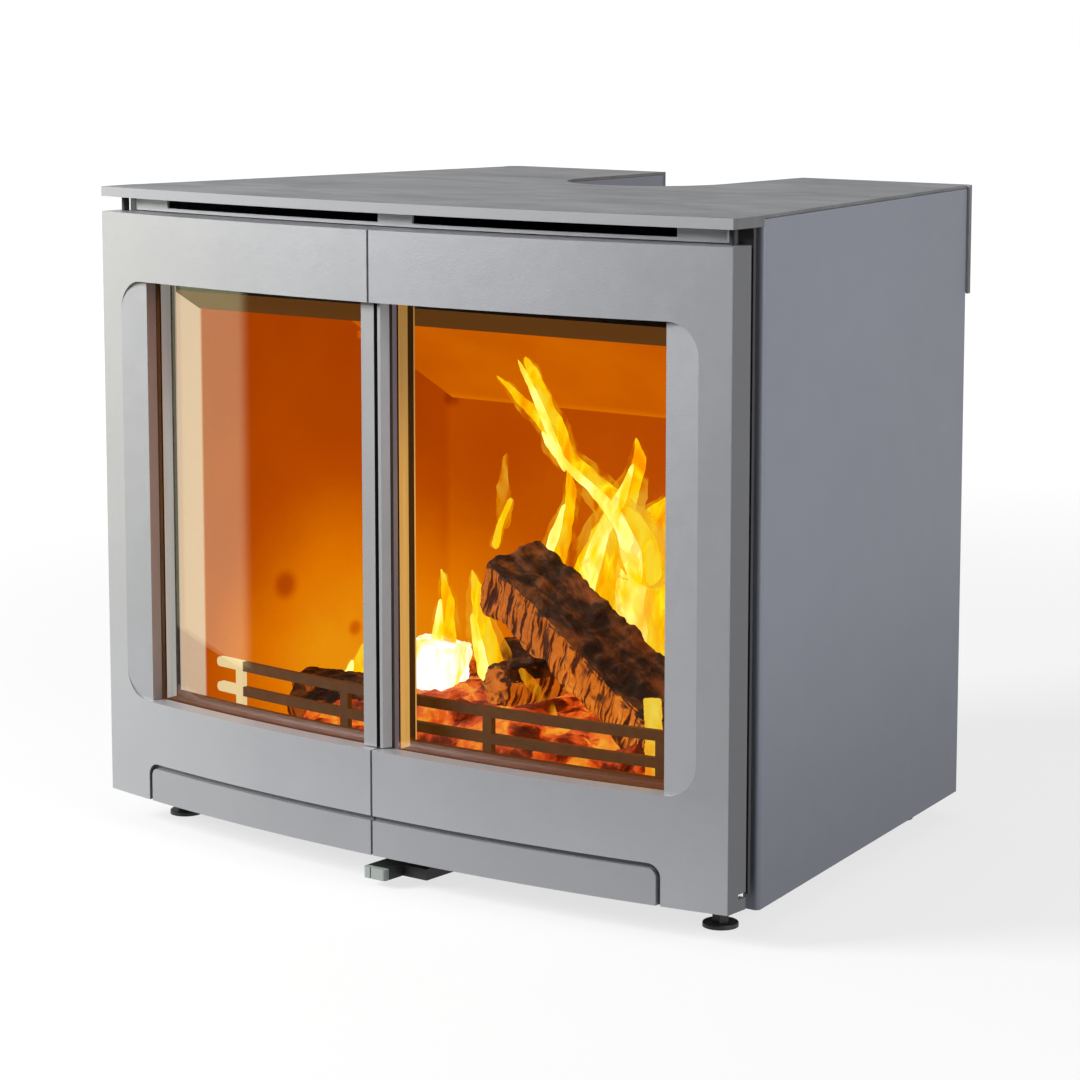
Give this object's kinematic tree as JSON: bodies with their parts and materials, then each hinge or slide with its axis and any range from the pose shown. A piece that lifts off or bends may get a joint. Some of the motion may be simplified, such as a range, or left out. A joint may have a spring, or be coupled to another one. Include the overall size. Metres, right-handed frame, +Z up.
{
  "type": "fireplace insert",
  "caption": "Wood-burning fireplace insert with bowed glazed double doors, slotted warm-air vents, lined firebox, log guard, flue collar, air lever and levelling feet.",
  "frame": {"origin": "centre of the bounding box at floor level, under the feet", "axes": "+X to the right across the front, +Y to the rear, +Z up"},
  "size_m": [0.6, 0.466, 0.5073],
  "materials": {
    "plate_grey": "satin heat-resistant paint",
    "casing_grey": "satin blue-grey sheet",
    "door_iron": "satin metallic grey paint",
    "stile_iron": "satin metallic grey paint",
    "frame_black": "matt black",
    "firebox_steel": "matt dark",
    "lining_board": "pressed mineral board",
    "hearth_iron": "rough cast",
    "guard_steel": "matt black",
    "retainer_steel": "brushed",
    "pane_glass": "clear heat-resistant glass",
    "glass_tape": "woven glass tape",
    "rope_seal": "braided glass rope",
    "screw_steel": "zinc plated",
    "tip_grey": "satin pale grey",
    "foot_black": "matt black"
  },
  "bodies": {
    "casing": {"top_plate": "plate_grey", "left_side_panel": "casing_grey", "right_side_panel": "casing_grey", "rear_panel": "casing_grey", "casing_screws": "screw_steel", "flue_recess": "casing_grey", "front_frame": "frame_black", "vent_strip": "frame_black", "base_plate": "frame_black", "foot_nuts": "screw_steel", "hearth_supports": "frame_black", "firebox_left_wall": "firebox_steel", "firebox_right_wall": "firebox_steel", "firebox_back_wall": "firebox_steel", "firebox_roof": "firebox_steel", "hearth_plate": "firebox_steel", "flue_collar": "firebox_steel", "floor_lining": "lining_board", "left_lining": "lining_board", "right_lining": "lining_board", "back_lining": "lining_board", "air_duct": "firebox_steel", "lintel_lining": "lining_board", "baffle": "lining_board", "baffle_rests": "firebox_steel", "hearth_lip": "hearth_iron", "door_catch": "frame_black", "air_box": "frame_black", "shutter_runners": "frame_black", "left_lower_hinge": "frame_black", "left_upper_hinge": "frame_black", "right_lower_hinge": "frame_black", "right_upper_hinge": "frame_black"},
    "left_door": {"left_door_casting": "door_iron", "left_cover_panel": "door_iron", "left_stile": "stile_iron", "left_pane": "pane_glass", "left_glass_tape": "glass_tape", "left_glass_retainer": "retainer_steel", "left_retainer_screws": "screw_steel", "left_door_rope": "rope_seal", "left_catch_tongue": "screw_steel"},
    "right_door": {"right_door_casting": "door_iron", "right_cover_panel": "door_iron", "right_stile": "stile_iron", "right_pane": "pane_glass", "right_glass_tape": "glass_tape", "right_glass_retainer": "retainer_steel", "right_retainer_screws": "screw_steel", "right_door_rope": "rope_seal", "right_catch_tongue": "screw_steel", "middle_rope": "rope_seal"},
    "log_guard": {"log_guard": "guard_steel"},
    "air_control": {"air_lever": "frame_black", "lever_tip": "tip_grey"},
    "front_left_foot": {"front_left_foot": "foot_black"},
    "front_right_foot": {"front_right_foot": "foot_black"},
    "rear_left_foot": {"rear_left_foot": "foot_black"},
    "rear_right_foot": {"rear_right_foot": "foot_black"}
  },
  "joints": [
    {"name": "left_door_hinge", "type": "hinge", "parent": "casing", "child": "left_door", "pos_m": [-0.2895, -0.188, 0.26], "axis": [0, 0, 1], "range_deg": [-100, 0]},
    {"name": "right_door_hinge", "type": "hinge", "parent": "casing", "child": "right_door", "pos_m": [0.2895, -0.188, 0.26], "axis": [0, 0, 1], "range_deg": [0, 100]},
    {"name": "log_guard_lift", "type": "slide", "parent": "casing", "child": "log_guard", "axis": [0, 0, 1], "range_m": [0, 0.05]},
    {"name": "air_control_slide", "type": "slide", "parent": "casing", "child": "air_control", "axis": [0, -1, 0], "range_m": [0, 0.035]},
    {"name": "front_left_foot_screw", "type": "slide", "parent": "casing", "child": "front_left_foot", "axis": [0, 0, -1], "range_m": [0, 0.012]},
    {"name": "front_right_foot_screw", "type": "slide", "parent": "casing", "child": "front_right_foot", "axis": [0, 0, -1], "range_m": [0, 0.012]},
    {"name": "rear_left_foot_screw", "type": "slide", "parent": "casing", "child": "rear_left_foot", "axis": [0, 0, -1], "range_m": [0, 0.012]},
    {"name": "rear_right_foot_screw", "type": "slide", "parent": "casing", "child": "rear_right_foot", "axis": [0, 0, -1], "range_m": [0, 0.012]}
  ]
}
